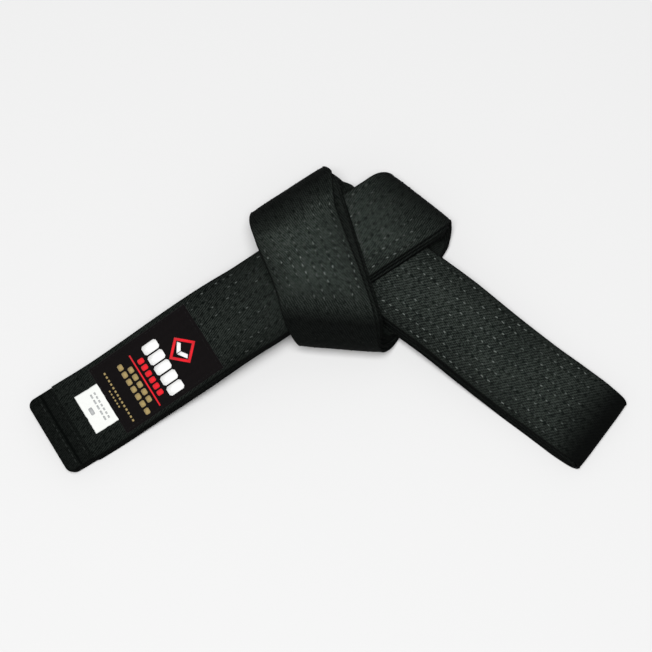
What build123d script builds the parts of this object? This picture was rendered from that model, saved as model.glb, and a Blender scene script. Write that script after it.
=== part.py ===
"""Martial arts belt, folded into four layers and tied in a flat overhand knot.

The belt lies on a level surface, seen from above as a pentagon knot with two tails.
Its folded stack runs up the left tail, over as the rising band, turns under at the
right fold, comes back as the hidden back band, turns up at the bottom fold into the
front band, turns under again at the top left fold and leaves as the falling band,
which becomes the right tail. X runs along the longest side, Z is up, and the origin
is the middle of the footprint.
"""
import os
from collections import namedtuple
from math import cos, radians, sin

from build123d import *

# Driving dimensions, in millimetres and degrees
belt_width = 43.0
layer_thickness = 2.1
layer_gap = 0.1
layer_count = 4
cover_thickness = 0.5
level_gap = 0.3
joint_gap = 0.4

layer_pitch = layer_thickness + layer_gap
stack_thickness = layer_count * layer_pitch - layer_gap
level_pitch = stack_thickness + level_gap
half_stack = stack_thickness / 2

# Where the knot stands, so that the origin is the middle of the footprint
knot_place = Vector(-0.02, -8.19)

# Stitching
row_count = 9
row_spacing = 4.6
thread_width = 0.5
thread_height = 0.25

# Tails: length from the bend beside the knot, and the gentle drop to the surface
left_tail_length = 119.0
left_tail_swing = -2.3
left_bend_radius = 80.0
left_slope = 14.0
right_tail_length = 104.0
right_bend_radius = 60.0
right_slope = 10.0
tail_lead = 4.0
flap_start = 20.0

# Ends and labels
hem_length = 14.5
hem_inset = 1.0
hem_corner = 4.0
hem_groove_width = 1.2
hem_groove_depth = 0.4
hem_groove_places = (7.7, 13.9)
hem_row_places = (5.4, 11.6)
label_length = 57.0
label_width = 38.0
label_thickness = 0.6
label_to_end = 35.0
label_thread_inset = 1.4
tab_length = 13.6
tab_width = 21.7
tab_thickness = 0.4

Band = namedtuple("Band", "point angle level")
Fold = namedtuple("Fold", "point outward upper lower")
Tail = namedtuple("Tail", "root heading level length bend_radius slope")


def heading(angle):
    """Unit vector on the ground at an angle from +X."""
    return Vector(cos(radians(angle)), sin(radians(angle)))


def meeting_point(point_a, angle_a, point_b, angle_b):
    """Point where two lines on the ground cross."""
    along_a = heading(angle_a)
    along_b = heading(angle_b)
    between = point_b - point_a
    reach = (between.X * along_b.Y - between.Y * along_b.X) / (along_a.X * along_b.Y - along_a.Y * along_b.X)
    return point_a + along_a * reach


def middle_height(level):
    """Height of the middle of a stack on one of the four crossing levels."""
    return half_stack + level * level_pitch


def layer_offsets():
    """Heights of the layers' middles above the middle of their stack, top layer first."""
    return [(layer_count - 1) * layer_pitch / 2 - index * layer_pitch for index in range(layer_count)]


def row_offsets():
    """Places of the stitched rows across the belt."""
    return [(index - (row_count - 1) / 2) * row_spacing for index in range(row_count)]


# The four straight bands of the knot, from the lowest level to the highest
back_band = Band(knot_place + Vector(26.3, 31.1), -118.6, 0)
falling_band = Band(knot_place + Vector(27.2, 35.4), -37.5, 1)
rising_band = Band(knot_place + Vector(-17.8, 26.0), 34.5, 2)
front_band = Band(knot_place + Vector(1.4, 0.4), 107.0, 3)

# The three rounded folds that join them, each turning about a level line
right_fold = Fold(knot_place + Vector(36.2, 63.0), 50.5, rising_band, back_band)
bottom_fold = Fold(knot_place + Vector(10.7, 11.7), -94.5, front_band, back_band)
top_left_fold = Fold(knot_place + Vector(-12.0, 61.5), 124.2, front_band, falling_band)

# The lines where the tails bend up, square to the tails and clear of the knot
left_root = rising_band.point + heading(rising_band.angle) * -24.0
right_root = falling_band.point + heading(falling_band.angle) * 34.0

left_heading = rising_band.angle + 180 + left_tail_swing
left_tail = Tail(left_root, left_heading, 2, left_tail_length, left_bend_radius, left_slope)
right_tail = Tail(right_root, falling_band.angle, 1, right_tail_length, right_bend_radius, right_slope)


def finish(piece, name):
    """Label a finished sub-part and write it."""
    piece.part.label = name
    export_step(piece.part, f"parts/{name}.step")


def fold_line(fold):
    """Point and angle of the level line that a fold turns about."""
    return fold.point, fold.outward - 90


def band_outline(band, start, end, inset):
    """Corners of a band between two cuts, pulled in at its long edges."""
    half_width = belt_width / 2 - inset
    corners = []
    for side, cuts in ((1, (start, end)), (-1, (end, start))):
        edge_point = band.point + heading(band.angle + 90) * (side * half_width)
        for cut_point, cut_angle in cuts:
            corners.append(meeting_point(edge_point, band.angle, cut_point, cut_angle))
    return corners


def slab(outline, bottom, thickness):
    """Flat slab over an outline, in the part being built."""
    with BuildSketch(Plane.XY.offset(bottom)) as footprint:
        with BuildLine():
            Polyline(*[(corner.X, corner.Y) for corner in outline], close=True)
        make_face()
    extrude(footprint.sketch, amount=thickness)


def band_layers(band, start, end, inset):
    """The stacked layers of one straight band, in the part being built."""
    outline = band_outline(band, start, end, inset)
    for offset_up in layer_offsets():
        bottom = middle_height(band.level) + offset_up - layer_thickness / 2 + inset
        slab(outline, bottom, layer_thickness - 2 * inset)


def band_threads(band, start, end):
    """The stitched rows on the top of a straight band, in the part being built."""
    top = middle_height(band.level) + half_stack
    for row in row_offsets():
        row_middle = band.point + heading(band.angle + 90) * row
        shifted = Band(row_middle, band.angle, band.level)
        outline = band_outline(shifted, start, end, (belt_width - thread_width) / 2)
        slab(outline, top, thread_height)


def fold_ring(fold, offset_out, inset):
    """One layer of a fold: half a ring whose ends follow the belt's edges round."""
    axis_height = (middle_height(fold.upper.level) + middle_height(fold.lower.level)) / 2
    stack_radius = middle_height(fold.upper.level) - axis_height
    radius = stack_radius + offset_out
    outer_radius = radius + layer_thickness / 2 - inset
    inner_radius = radius - layer_thickness / 2 + inset
    outward = heading(fold.outward)
    along = heading(fold.outward - 90)
    centre = Vector(fold.point.X, fold.point.Y, axis_height)
    section = Plane(origin=centre, x_dir=outward, z_dir=along)
    side_planes = []
    for side in (-1, 1):
        places = []
        for band in (fold.upper, fold.lower):
            ends = [
                (meeting_point(band.point + heading(band.angle + 90) * half, band.angle, *fold_line(fold))
                 - fold.point).dot(along)
                for half in (-belt_width / 2, belt_width / 2)
            ]
            places.append((max(ends) if side > 0 else min(ends)) - side * inset)
        lean = (places[1] - places[0]) / 2
        middle = centre + along * (sum(places) / 2)
        side_planes.append(Plane(origin=middle, x_dir=outward, z_dir=along * radius + Vector(0, 0, lean)))
    with BuildPart() as ring:
        with BuildSketch(section):
            with BuildLine():
                outer = CenterArc((0, 0), outer_radius, -90, 180)
                inner = CenterArc((0, 0), inner_radius, -90, 180)
                Line(outer @ 0, inner @ 0)
                Line(outer @ 1, inner @ 1)
            make_face()
        extrude(amount=3 * belt_width, both=True)
        split(bisect_by=side_planes[0], keep=Keep.TOP)
        split(bisect_by=side_planes[1], keep=Keep.BOTTOM)
    return ring.part


def tail_plane(tail, across=0.0):
    """Upright plane along a tail: local x leads away from the knot, local y is up."""
    outward = heading(tail.heading)
    to_side = outward.cross(Vector(0, 0, 1))
    return Plane(origin=tail.root + to_side * across, x_dir=outward, z_dir=to_side)


def tail_drop(tail):
    """How far a tail comes down from its level in the knot."""
    return tail.level * level_pitch


def tail_edge(tail, offset_up, end):
    """Side view of a tail's drop, as a line at one height in its stack."""
    start_height = middle_height(tail.level) + offset_up
    bend_drop = 2 * tail.bend_radius * (1 - cos(radians(tail.slope)))
    ramp_length = (tail_drop(tail) - bend_drop) / sin(radians(tail.slope))
    lead = Line((joint_gap, start_height), (tail_lead, start_height))
    bend = JernArc(lead @ 1, lead % 1, tail.bend_radius + offset_up, -tail.slope)
    ramp = Line(bend @ 1, bend @ 1 + (bend % 1) * ramp_length)
    level_out = JernArc(ramp @ 1, ramp % 1, tail.bend_radius - offset_up, tail.slope)
    rest = Line(level_out @ 1, (end, (level_out @ 1).Y))
    return lead @ 0, rest @ 1


def tail_strip(tail, bottom, top, start, end, across, width):
    """Strip that follows a tail's drop, between two heights in its stack."""
    with BuildPart() as strip:
        with BuildSketch(tail_plane(tail, across)):
            with BuildLine():
                low_start, low_end = tail_edge(tail, bottom, tail.length)
                high_start, high_end = tail_edge(tail, top, tail.length)
                Line(low_start, high_start)
                Line(low_end, high_end)
            make_face()
        extrude(amount=width / 2, both=True)
        outward = heading(tail.heading)
        if start > joint_gap:
            split(bisect_by=Plane(origin=tail.root + outward * start, z_dir=outward), keep=Keep.TOP)
        if end < tail.length:
            split(bisect_by=Plane(origin=tail.root + outward * end, z_dir=outward), keep=Keep.BOTTOM)
    return strip.part


def tail_layer(tail, offset_up, start, end, inset):
    """One layer of a tail."""
    half = layer_thickness / 2 - inset
    return tail_strip(tail, offset_up - half, offset_up + half, start, end, 0, belt_width - 2 * inset)


def turned_end(tail, end, offset_up, radius, inset):
    """Half ring that joins two layers of a tail where the belt turns back on itself."""
    outer_radius = radius + layer_thickness / 2 - inset
    inner_radius = radius - layer_thickness / 2 + inset
    with BuildPart() as turn:
        with BuildSketch(tail_plane(tail)):
            with BuildLine():
                outer = CenterArc((end, half_stack + offset_up), outer_radius, -90, 180)
                inner = CenterArc((end, half_stack + offset_up), inner_radius, -90, 180)
                Line(outer @ 0, inner @ 0)
                Line(outer @ 1, inner @ 1)
            make_face()
        extrude(amount=belt_width / 2 - inset, both=True)
    return turn.part


def hem_block(tail, offset_up):
    """Doubled, sewn end of the belt, a little narrower than the belt and round at its corners."""
    outward = heading(tail.heading)
    to_side = outward.cross(Vector(0, 0, 1))
    middle = tail.root + outward * (tail.length - hem_length / 2)
    bottom = half_stack + offset_up - layer_thickness / 2
    top_plane = Plane(origin=middle + Vector(0, 0, bottom + layer_thickness), x_dir=outward, z_dir=(0, 0, 1))
    with BuildPart() as hem:
        with BuildSketch(Plane(origin=middle + Vector(0, 0, bottom), x_dir=outward, z_dir=(0, 0, 1))):
            Rectangle(hem_length, belt_width - hem_inset)
        extrude(amount=layer_thickness)
        end_face = hem.faces().sort_by(Axis(middle, outward))[-1]
        fillet(end_face.edges().filter_by(Axis.Z), radius=hem_corner)
        for place in hem_groove_places:
            with BuildSketch(top_plane):
                with Locations((hem_length / 2 - place, 0)):
                    Rectangle(hem_groove_width, belt_width)
            extrude(amount=-hem_groove_depth, mode=Mode.SUBTRACT)
    return hem.part


os.makedirs("parts", exist_ok=True)

left_cut = (left_root, left_tail.heading + 90)
right_cut = (right_root, right_tail.heading + 90)

# Straight bands of the knot, each a padded core inside a woven cover
straight_pieces = (
    ("front_band", front_band, fold_line(bottom_fold), fold_line(top_left_fold)),
    ("back_band", back_band, fold_line(right_fold), fold_line(bottom_fold)),
    ("rising_band", rising_band, left_cut, fold_line(right_fold)),
    ("falling_band", falling_band, fold_line(top_left_fold), right_cut),
)
for name, band, start, end in straight_pieces:
    with BuildPart() as core:
        band_layers(band, start, end, cover_thickness)
    finish(core, f"{name}_core")
    with BuildPart() as cover:
        band_layers(band, start, end, 0)
        add(core.part, mode=Mode.SUBTRACT)
    finish(cover, f"{name}_cover")

# Rounded folds. The bands that cross inside the bottom fold press into it.
with BuildPart() as pressed_bands:
    for band, start, end in ((rising_band, left_cut, fold_line(right_fold)),
                             (falling_band, fold_line(top_left_fold), right_cut)):
        pressed_outline = band_outline(band, start, end, -layer_gap)
        slab(pressed_outline, middle_height(band.level) - half_stack, stack_thickness)

for name, fold in (("right_fold", right_fold), ("bottom_fold", bottom_fold), ("top_left_fold", top_left_fold)):
    core_rings = [fold_ring(fold, offset_out, cover_thickness) for offset_out in layer_offsets()]
    cover_rings = [fold_ring(fold, offset_out, 0) for offset_out in layer_offsets()]
    with BuildPart() as core:
        add(core_rings)
        if fold is bottom_fold:
            add(pressed_bands.part, mode=Mode.SUBTRACT)
    finish(core, f"{name}_core")
    with BuildPart() as cover:
        add(cover_rings)
        add(core_rings, mode=Mode.SUBTRACT)
        if fold is bottom_fold:
            add(pressed_bands.part, mode=Mode.SUBTRACT)
    finish(cover, f"{name}_cover")

# Stitched rows that show on top of the knot
with BuildPart() as front_band_stitching:
    band_threads(front_band, fold_line(bottom_fold), fold_line(top_left_fold))
finish(front_band_stitching, "front_band_stitching")

front_edge = front_band.point - heading(front_band.angle + 90) * (belt_width / 2 + 1)
with BuildPart() as rising_band_stitching:
    band_threads(rising_band, (front_edge, front_band.angle), fold_line(right_fold))
finish(rising_band_stitching, "rising_band_stitching")

# Left tail: the top layer is the labelled free end, the second is the plain free end,
# and the two lowest turn into each other
offsets = layer_offsets()
hem_start = left_tail.length - hem_length
turn_radius = layer_pitch / 2
turn_start = left_tail.length - turn_radius - layer_thickness / 2
left_layers = (
    (offsets[0], joint_gap, flap_start),
    (offsets[1], joint_gap, hem_start),
    (offsets[2], joint_gap, turn_start),
    (offsets[3], joint_gap, turn_start),
)
left_cores = [tail_layer(left_tail, *layer, cover_thickness) for layer in left_layers]
left_covers = [tail_layer(left_tail, *layer, 0) for layer in left_layers]
with BuildPart() as left_tail_core:
    add(left_cores)
finish(left_tail_core, "left_tail_core")
with BuildPart() as left_tail_cover:
    add(left_covers)
    add(left_cores, mode=Mode.SUBTRACT)
finish(left_tail_cover, "left_tail_cover")

turn_height = (offsets[2] + offsets[3]) / 2
left_turn_core_ring = turned_end(left_tail, turn_start, turn_height, turn_radius, cover_thickness)
with BuildPart() as left_turn_core:
    add(left_turn_core_ring)
finish(left_turn_core, "left_turn_core")
with BuildPart() as left_turn_cover:
    add(turned_end(left_tail, turn_start, turn_height, turn_radius, 0))
    add(left_turn_core_ring, mode=Mode.SUBTRACT)
finish(left_turn_cover, "left_turn_cover")

with BuildPart() as plain_end_hem:
    add(hem_block(left_tail, offsets[1]))
finish(plain_end_hem, "plain_end_hem")

# Labelled free end, which lifts off the tail
label_layer = (offsets[0], flap_start + joint_gap, hem_start)
with BuildPart() as label_end_core:
    add(tail_layer(left_tail, *label_layer, cover_thickness))
finish(label_end_core, "label_end_core")
with BuildPart() as label_end_cover:
    add(tail_layer(left_tail, *label_layer, 0))
    add(label_end_core.part, mode=Mode.SUBTRACT)
finish(label_end_cover, "label_end_cover")

with BuildPart() as label_end_hem:
    add(hem_block(left_tail, offsets[0]))
finish(label_end_hem, "label_end_hem")

label_end = left_tail.length - label_to_end
label_start = label_end - label_length
label_top = half_stack + label_thickness
with BuildPart() as woven_label:
    add(tail_strip(left_tail, half_stack, label_top, label_start, label_end, 0, label_width))
finish(woven_label, "woven_label")

with BuildPart() as size_tab:
    tab_top = half_stack + tab_thickness
    add(tail_strip(left_tail, half_stack, tab_top, label_end, label_end + tab_length, 0, tab_width))
finish(size_tab, "size_tab")

thread_top = label_top + thread_height
label_side = label_width / 2 - label_thread_inset
thread_start = label_start + label_thread_inset
thread_end = label_end - label_thread_inset
with BuildPart() as label_stitching:
    for across in (-label_side, label_side):
        add(tail_strip(left_tail, label_top, thread_top, thread_start, thread_end, across, thread_width))
    for place in (thread_start, thread_end - thread_width):
        add(tail_strip(left_tail, label_top, thread_top, place, place + thread_width, 0, 2 * label_side))
finish(label_stitching, "label_stitching")

row_top = half_stack + thread_height
with BuildPart() as label_end_stitching:
    for row in row_offsets():
        add(tail_strip(left_tail, half_stack, row_top, flap_start + joint_gap, label_start, row, thread_width))
finish(label_end_stitching, "label_end_stitching")

with BuildPart() as hem_stitching:
    for place in hem_row_places:
        row_end = left_tail.length - place
        row_length = belt_width - hem_inset - 2 * hem_corner
        add(tail_strip(left_tail, half_stack, row_top, row_end - thread_width, row_end, 0, row_length))
finish(hem_stitching, "hem_stitching")

# Right tail: the belt turns back on itself twice, one turn inside the other
outer_turn_radius = layer_pitch * (layer_count - 1) / 2
right_turn_start = right_tail.length - outer_turn_radius - layer_thickness / 2
right_cores = []
right_covers = []
for offset_up in offsets:
    right_cores.append(tail_layer(right_tail, offset_up, joint_gap, right_turn_start, cover_thickness))
    right_covers.append(tail_layer(right_tail, offset_up, joint_gap, right_turn_start, 0))
with BuildPart() as right_tail_core:
    add(right_cores)
finish(right_tail_core, "right_tail_core")
with BuildPart() as right_tail_cover:
    add(right_covers)
    add(right_cores, mode=Mode.SUBTRACT)
finish(right_tail_cover, "right_tail_cover")

for name, radius in (("outer_turn", outer_turn_radius), ("inner_turn", turn_radius)):
    core_ring = turned_end(right_tail, right_turn_start, 0, radius, cover_thickness)
    with BuildPart() as core:
        add(core_ring)
    finish(core, f"{name}_core")
    with BuildPart() as cover:
        add(turned_end(right_tail, right_turn_start, 0, radius, 0))
        add(core_ring, mode=Mode.SUBTRACT)
    finish(cover, f"{name}_cover")

with BuildPart() as right_tail_stitching:
    for row in row_offsets():
        add(tail_strip(right_tail, half_stack, row_top, joint_gap, right_turn_start, row, thread_width))
finish(right_tail_stitching, "right_tail_stitching")
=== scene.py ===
"""Looks of a knotted martial arts belt: padded twill layers, stitching, hems, label and tab.

Lengths are in millimetres, and become metres as each mesh is made. The belt is a stack of four
layers that runs from the end of the left tail, through the knot, to the end of the right tail.
A station is a line across that stack: its minus and plus edges at mid height, and the direction
that points out of the folds. A point of the belt is found by its place across a station, from
-21.5 at the minus edge to 21.5 at the plus edge, and its height along the outward direction.
"""
from collections import namedtuple
from math import cos, pi, radians, sin, tan

import bmesh
import bpy
import numpy as np
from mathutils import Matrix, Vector


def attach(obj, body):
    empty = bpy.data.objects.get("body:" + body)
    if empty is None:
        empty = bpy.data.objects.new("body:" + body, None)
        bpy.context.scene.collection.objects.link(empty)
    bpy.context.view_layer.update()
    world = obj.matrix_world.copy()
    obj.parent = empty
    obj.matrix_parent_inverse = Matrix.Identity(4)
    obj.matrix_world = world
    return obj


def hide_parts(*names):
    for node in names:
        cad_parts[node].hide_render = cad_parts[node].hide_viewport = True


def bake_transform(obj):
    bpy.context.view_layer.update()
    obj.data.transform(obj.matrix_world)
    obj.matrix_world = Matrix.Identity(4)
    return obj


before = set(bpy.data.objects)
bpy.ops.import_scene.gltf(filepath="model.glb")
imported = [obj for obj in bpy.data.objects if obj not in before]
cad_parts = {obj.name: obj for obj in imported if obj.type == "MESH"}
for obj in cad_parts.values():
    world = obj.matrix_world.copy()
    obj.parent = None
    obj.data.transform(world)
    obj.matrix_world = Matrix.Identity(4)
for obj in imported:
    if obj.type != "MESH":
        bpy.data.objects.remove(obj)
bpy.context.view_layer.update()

METRES = 0.001
# The belt's texture map counts in units of this many millimetres, across it and along it
UV_UNIT = 100.0
random_seed = 7
random = np.random.default_rng(random_seed)

# The belt and the knot, the same sizes as the CAD model's
half_width = 21.5
layer_thickness = 2.1
layer_pitch = 2.2
half_stack = 4.35
level_pitch = 9.0
layer_heights = (3.3, 1.1, -1.1, -3.3)
knot_place = np.array((-0.02, -8.19, 0.0))
left_root_reach = 24.0
right_root_reach = 34.0
left_tail_swing = -2.3
tail_lead = 4.0
flap_start = 20.0
hem_length = 14.5
label_to_end = 35.0
label_length = 57.0
label_half_width = 19.0
tab_length = 13.6
tab_half_width = 10.85

# Where the tails bend, and how their ends are finished
root_blend = (-8.0, 10.0)
flap_blend_length = 14.0
hem_inset = 0.5
hem_corner = 3.8
hem_lip = 1.0
hem_grooves = (7.7, 14.0)
hem_rows_from_end = (5.9, 12.6)
hem_stitch_pitch = 3.0
hem_stitch_length = 2.2
hem_row_reach = 17.0
right_fan = 1.9
right_turn_bare = 7.5

# Stitched rows, and how much the stitches vary
row_spacing = 4.6
rows_each_side = 4
row_wander = 0.45
stitch_pitch = 4.1
stitch_length = 1.8
stitch_length_shares = (0.6, 1.1)
stitch_sink = (-0.04, 0.16)
stitch_stray = 0.16
stitch_tilt = 0.13
faintest_thread = 0.15
thread_tone_bias = 1.6
# How far painted shade darkens the threads that lie on shaded cloth
thread_dimming = 0.3
row_phases = random.uniform(0, stitch_pitch, 2 * rows_each_side + 1)

# Relief of the cloth: channels along the rows, holes at the stitches, and soft waves between
pad_rise = 0.10
channel_depth = 0.20
channel_width = 0.9
hole_depth = 0.38
hole_width = 0.42
hole_length = 0.58
pucker_height = 0.08
pucker_pitch = 2.9
slack_height = 0.16
side_drop = 0.45
hem_rise = 0.08
hem_groove_depth = 0.42
hem_groove_width = 0.5
hem_pucker_height = 0.05
hem_pucker_pitch = 3.1
hem_pucker_middle = 7.0
hem_pucker_reach = 4.0

# The long edges: where the relief fades out, how much painted shade darkens them, and how worn they are
edge_roll = 2.4
rim_width = 1.3
rim_fade = 0.9
side_shade = 0.97
edge_shade = 0.56
edge_shade_power = 2.4
edge_wear_power = 14

# Mesh fineness: distances between stations, columns across the belt, and corners round a thread
fine_step = 0.7
leg_step = 1.0
inner_step = 1.4
coarse_step = 2.2
turn_step = 0.5
relief_columns = 8
plain_columns = 2
edge_columns = 6
thread_ring_size = 6

Band = namedtuple("Band", "point angle level")
Fold = namedtuple("Fold", "point outward")
Tail = namedtuple("Tail", "root heading level length radius slope")
Stations = namedtuple("Stations", "minus plus out run_minus run_plus")

UP = np.array((0.0, 0.0, 1.0))


# --- The route of the stack ---

def heading(angle):
    """Level unit vector at an angle from +X."""
    return np.array((cos(radians(angle)), sin(radians(angle)), 0.0))


def ground(x, y):
    """A point of the knot, from its place in the knot's own plan."""
    return knot_place + np.array((x, y, 0.0))


def crossed(a, b):
    """The upright part of the cross product of two level vectors."""
    return a[0] * b[1] - a[1] * b[0]


def meeting(point_a, angle_a, point_b, angle_b):
    """Where two level lines cross."""
    along_a = heading(angle_a)
    along_b = heading(angle_b)
    reach = crossed(point_b - point_a, along_b) / crossed(along_a, along_b)
    return point_a + along_a * reach


def middle_height(level):
    """Height of the middle of the stack on one of the knot's levels."""
    return half_stack + level * level_pitch


back_band = Band(ground(26.3, 31.1), -118.6, 0)
falling_band = Band(ground(27.2, 35.4), -37.5, 1)
rising_band = Band(ground(-17.8, 26.0), 34.5, 2)
front_band = Band(ground(1.4, 0.4), 107.0, 3)

right_fold = Fold(ground(36.2, 63.0), 50.5)
bottom_fold = Fold(ground(10.7, 11.7), -94.5)
top_left_fold = Fold(ground(-12.0, 61.5), 124.2)

left_root = rising_band.point - left_root_reach * heading(rising_band.angle)
right_root = falling_band.point + right_root_reach * heading(falling_band.angle)
left_tail = Tail(left_root, rising_band.angle + 180 + left_tail_swing, 2, 119.0, 80.0, 14.0)
right_tail = Tail(right_root, falling_band.angle, 1, 104.0, 60.0, 10.0)


def fold_cut(fold):
    """The level line that a fold turns about, as a point and an angle."""
    return fold.point, fold.outward - 90


def square_cut(point, band):
    """A cut square across a band, as a point and an angle."""
    return point, band.angle + 90


def plus_side(band):
    """1 on the two upper bands, whose plus edge is on their left, and -1 on the two lower ones."""
    return 1 if band.level > 1 else -1


def edge_point(band, side, cut):
    """Where one edge of a band (1 plus, -1 minus) meets a cut, at the stack's mid height."""
    edge = band.point + heading(band.angle + 90) * (half_width * side * plus_side(band))
    return meeting(edge, band.angle, *cut) + UP * middle_height(band.level)


def joined(*parts, start=(0.0, 0.0)):
    """Stations from parts that follow each other, with the belt's length along both edges."""
    minus, plus, out = (
        np.concatenate([parts[0][field]] + [part[field][1:] for part in parts[1:]]) for field in range(3)
    )
    runs = []
    for edge, first in ((minus, start[0]), (plus, start[1])):
        steps = np.linalg.norm(np.diff(edge, axis=0), axis=1)
        runs.append(first + np.concatenate(([0.0], np.cumsum(steps))))
    return Stations(minus, plus, out, *runs)


def lifted(stations, height):
    """Stations moved along their outward direction."""
    return stations[0] + stations[2] * height, stations[1] + stations[2] * height, stations[2]


def flat_run(band, start, end, step):
    """Stations along a straight band, between two cuts."""
    ends = [[edge_point(band, side, cut) for cut in (start, end)] for side in (-1, 1)]
    length = max(np.linalg.norm(last - first) for first, last in ends)
    part = np.linspace(0, 1, int(length / step) + 2)[:, None]
    minus, plus = (first + (last - first) * part for first, last in ends)
    return minus, plus, np.tile(UP * plus_side(band), (len(part), 1))


def fold_run(fold, before, after, step):
    """Stations round a fold, from the band before it to the band after it."""
    upper, lower = (before, after) if before.level > after.level else (after, before)
    axis_height = (middle_height(upper.level) + middle_height(lower.level)) / 2
    radius = middle_height(upper.level) - axis_height
    count = int(pi * (radius + half_stack) / step) + 2
    turn = np.linspace(0, pi, count) if before is upper else np.linspace(pi, 0, count)
    part = turn[:, None] / pi
    out = heading(fold.outward) * np.sin(turn)[:, None] + UP * np.cos(turn)[:, None]
    edges = []
    for side in (-1, 1):
        upper_end, lower_end = (
            edge_point(band, side, fold_cut(fold)) * (1, 1, 0) + UP * axis_height for band in (upper, lower)
        )
        edges.append(upper_end + (lower_end - upper_end) * part + out * radius)
    return *edges, out


def tail_shape(tail, x):
    """How far a tail has come down, and how steeply, at distances x from its root."""
    steepest = radians(tail.slope)
    arc_reach = tail.radius * sin(steepest)
    arc_drop = tail.radius * (1 - cos(steepest))
    ramp_start = tail_lead + arc_reach
    ramp_reach = (tail.level * level_pitch - 2 * arc_drop) / tan(steepest)
    rest_start = ramp_start + ramp_reach + arc_reach
    into_first = np.clip(x - tail_lead, 0, arc_reach)
    before_rest = np.clip(rest_start - x, 0, arc_reach)
    drop = tail.radius - np.sqrt(tail.radius ** 2 - into_first ** 2)
    drop = drop + np.clip(x - ramp_start, 0, ramp_reach) * tan(steepest)
    drop = drop + arc_drop - (tail.radius - np.sqrt(tail.radius ** 2 - before_rest ** 2))
    return drop, np.arcsin(np.minimum(into_first, before_rest) / tail.radius)


def tail_run(tail, x, facing):
    """Stations along a tail at distances x from its root. facing is 1 where outward is up."""
    x = np.asarray(x, float)
    drop, slope = tail_shape(tail, x)
    ahead = heading(tail.heading)
    middle = tail.root + ahead * x[:, None] + UP * (middle_height(tail.level) - drop)[:, None]
    out = (ahead * np.sin(slope)[:, None] + UP * np.cos(slope)[:, None]) * facing
    to_plus = -heading(tail.heading + 90)
    return middle - to_plus * half_width, middle + to_plus * half_width, out


def reversed_run(stations):
    """The same stations, from the last to the first."""
    return tuple(field[::-1] for field in stations[:3])


def looped(leg, near_height, far_height, outward):
    """Stations out along one layer of a leg, round its turned end and back along another layer.

    The leg runs towards the tail's end, and outward in the result is the outside of the loop.
    """
    away = np.sign(near_height - far_height)
    radius = abs(near_height - far_height) / 2
    near_minus, near_plus, out = lifted(leg, near_height)
    far_minus, far_plus, out = lifted(leg, far_height)
    turn = np.linspace(0, pi, int(pi * radius / turn_step) + 7)[:, None]
    around = out[-1] * away * np.cos(turn) + outward * np.sin(turn)
    turn_minus = (near_minus[-1] + far_minus[-1]) / 2 + around * radius
    turn_plus = (near_plus[-1] + far_plus[-1]) / 2 + around * radius
    return joined(
        (near_minus, near_plus, out * away),
        (turn_minus, turn_plus, around),
        reversed_run((far_minus, far_plus, -out * away)),
    )


def steps_between(start, end, step):
    """Evenly spaced distances from start to end."""
    return np.linspace(start, end, int(abs(end - start) / step) + 2)


# --- Relief of the padded, stitched cloth ---

def row_shift(row, run):
    """How far a stitched row wanders sideways, as hand-guided rows do.

    Here and below, the lengths of the waves are unrelated, so that no pattern repeats.
    """
    return row_wander * np.sin(run / 19.0 + row * 2.3) * np.sin(run / 7.3 + row * 1.1)


def sideways(run, layer):
    """How far a layer slides out of line with the others in the stack."""
    return 0.35 * np.sin(run / 37.0 + layer * 1.9) + 0.15 * np.sin(run / 11.0 + layer * 4.1)


def eased(part):
    """Smooth step from 0 to 1."""
    part = np.clip(part, 0, 1)
    return part * part * (3 - 2 * part)


def near(distance, start, reach):
    """1 at distances up to a start, and smoothly down to 0 over the reach beyond it."""
    return eased(1 - (distance - start) / reach)


def between(at_minus, at_plus, across):
    """Values at places across the belt, from those at its minus and plus edges."""
    return at_minus + (at_plus - at_minus) * ((across / half_width + 1) / 2)


def stitch_relief(across, run):
    """Height of the cloth: padded between the rows, drawn down along them and at each hole. Also how deep
    each hole is, which paints shade into it.
    """
    row = np.clip(np.round(across / row_spacing), -rows_each_side, rows_each_side).astype(int)
    from_row = across - row * row_spacing - row_shift(row, run)
    phase = row_phases[row + rows_each_side]
    into_stitch = (run - phase) % stitch_pitch
    to_hole = np.minimum(into_stitch, stitch_pitch - into_stitch)
    channel = np.exp(-(from_row / channel_width) ** 2)
    number = np.round((run - phase) / stitch_pitch)
    depth = 0.5 + 0.5 * np.abs(np.sin(number * 12.99 + row * 4.7))
    hole = depth * np.exp(-(from_row / hole_width) ** 2 - (to_hole / hole_length) ** 2)
    pucker = np.sin((run * 0.62 + across * 0.78) * 2 * pi / pucker_pitch + np.sin(run / 11.0) * 2.0)
    slack = np.sin(run / 23.0 + across / 9.0) * np.sin(run / 31.0 - across / 13.0)
    height = pad_rise - channel_depth * channel - hole_depth * hole
    height = height + pucker_height * pucker * (1 - channel) + slack_height * slack
    return height, hole


def edge_drop(across):
    """How the padded belt falls away towards its long edges."""
    return -side_drop * (np.abs(across) / half_width) ** 6


def hem_relief(across, run):
    """Height of a sewn hem: two rows of stitching draw it down into grooves. Also the first groove, into
    which shade is painted.
    """
    grooves = [np.exp(-((run - place) / hem_groove_width) ** 2) for place in hem_grooves]
    near_rows = np.exp(-((run - hem_pucker_middle) / hem_pucker_reach) ** 2)
    pucker = hem_pucker_height * np.sin(across * 2 * pi / hem_pucker_pitch) * near_rows
    return hem_rise - hem_groove_depth * sum(grooves) + pucker, grooves[0]


# --- Meshes ---

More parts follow.
